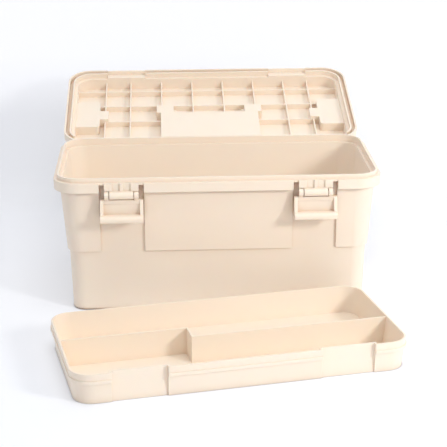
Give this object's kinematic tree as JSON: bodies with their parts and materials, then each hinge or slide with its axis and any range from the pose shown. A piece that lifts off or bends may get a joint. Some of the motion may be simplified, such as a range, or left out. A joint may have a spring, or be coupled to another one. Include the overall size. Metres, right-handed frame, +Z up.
{
  "type": "sewing box",
  "caption": "Moulded box with a hinged ribbed lid, a folding carry handle, snap latches hanging open on the front and a divided tray that lifts out to hold sewing things.",
  "frame": {"origin": "centre of the box's flat base, on the floor", "axes": "+X to the right along the box's length, +Y from the latches towards the hinges, +Z up"},
  "size_m": [0.434, 0.7147, 0.2389],
  "materials": {
    "shell": "satin moulded cream plastic",
    "pin": "plain drawn steel"
  },
  "bodies": {
    "box": {"box_body": "shell", "hinge_pin_left": "pin", "hinge_pin_right": "pin"},
    "lid": {"lid_shell": "shell"},
    "handle": {"carry_handle": "shell"},
    "latch_left": {"latch_left": "shell"},
    "latch_right": {"latch_right": "shell"},
    "cover_left": {"well_cover_left": "shell"},
    "cover_right": {"well_cover_right": "shell"},
    "tray": {"tray": "shell"}
  },
  "joints": [
    {"name": "lid_hinge", "type": "hinge", "parent": "box", "child": "lid", "pos_m": [0, 0.113, 0.1797], "axis": [1, 0, 0], "range_deg": [0, 164]},
    {"name": "latch_left_swing", "type": "hinge", "parent": "box", "child": "latch_left", "pos_m": [-0.126, -0.1102, 0.1655], "axis": [-1, 0, 0], "range_deg": [-12, 180]},
    {"name": "latch_right_swing", "type": "hinge", "parent": "box", "child": "latch_right", "pos_m": [0.126, -0.1102, 0.1655], "axis": [-1, 0, 0], "range_deg": [-12, 180]},
    {"name": "handle_swing", "type": "hinge", "parent": "lid", "child": "handle", "pos_m": [0, 0.23299, 0.18935], "axis": [1, 0, 0], "range_deg": [-74, 36]},
    {"name": "cover_left_open", "type": "hinge", "parent": "lid", "child": "cover_left", "pos_m": [-0.1946, 0.22066, 0.18155], "axis": [0, 0.9613, 0.2756], "range_deg": [0, 90]},
    {"name": "cover_right_open", "type": "hinge", "parent": "lid", "child": "cover_right", "pos_m": [0.1946, 0.22066, 0.18155], "axis": [0, -0.9613, -0.2756], "range_deg": [0, 90]},
    {"name": "tray_lift", "type": "slide", "parent": "box", "child": "tray", "axis": [0, 0, 1], "range_m": [0, 0.08]}
  ]
}
